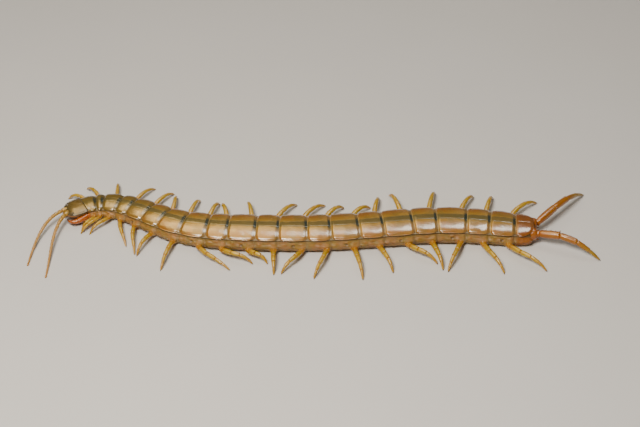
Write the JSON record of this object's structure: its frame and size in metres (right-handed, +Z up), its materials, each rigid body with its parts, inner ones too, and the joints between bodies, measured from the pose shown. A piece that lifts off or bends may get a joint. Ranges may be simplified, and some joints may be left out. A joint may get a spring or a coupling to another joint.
{
  "type": "giant centipede",
  "caption": "Life-size still model of a giant centipede: long jointed body in a gentle S, legs spread on the floor, feelers out front, poison claws under the head and spread last legs",
  "frame": {"origin": "on the floor under the middle of the animal's outline in plan", "axes": "head to -X, tail to +X, the animal's left side to -Y and its right side to +Y, Z up, all feet on z = 0"},
  "size_m": [0.1647, 0.0426, 0.007],
  "materials": {
    "back": "gloss",
    "head_plate": "gloss",
    "flank": "satin",
    "leg": "gloss",
    "claw": "gloss",
    "feeler": "satin",
    "tail_leg": "gloss",
    "eye": "gloss"
  },
  "bodies": {
    "root": {"head": "head_plate", "eye_left": "eye", "eye_right": "eye", "antenna_left": "feeler", "antenna_right": "feeler", "poison_claw_left": "claw", "poison_claw_right": "claw", "trunk_01_02": "back", "trunk_03_04": "back", "trunk_05_06": "back", "trunk_07_08": "back", "trunk_09_10": "back", "trunk_11_12": "back", "trunk_13_14": "back", "trunk_15_16": "back", "trunk_17_18": "back", "trunk_19_20": "back", "trunk_21": "back", "leg_left_01": "leg", "leg_left_02": "leg", "leg_left_03": "leg", "leg_left_04": "leg", "leg_left_05": "leg", "leg_left_06": "leg", "leg_left_07": "leg", "leg_left_08": "leg", "leg_left_09": "leg", "leg_left_10": "leg", "leg_left_11": "leg", "leg_left_12": "leg", "leg_left_13": "leg", "leg_left_14": "leg", "leg_left_15": "leg", "leg_left_16": "leg", "leg_left_17": "leg", "leg_left_18": "leg", "leg_left_19": "leg", "leg_left_20": "leg", "leg_right_01": "leg", "leg_right_02": "leg", "leg_right_03": "leg", "leg_right_04": "leg", "leg_right_05": "leg", "leg_right_06": "leg", "leg_right_07": "leg", "leg_right_08": "leg", "leg_right_09": "leg", "leg_right_10": "leg", "leg_right_11": "leg", "leg_right_12": "leg", "leg_right_13": "leg", "leg_right_14": "leg", "leg_right_15": "leg", "leg_right_16": "leg", "leg_right_17": "leg", "leg_right_18": "leg", "leg_right_19": "leg", "leg_right_20": "leg", "tail_leg_left": "tail_leg", "tail_leg_right": "tail_leg"}
  },
  "joints": []
}
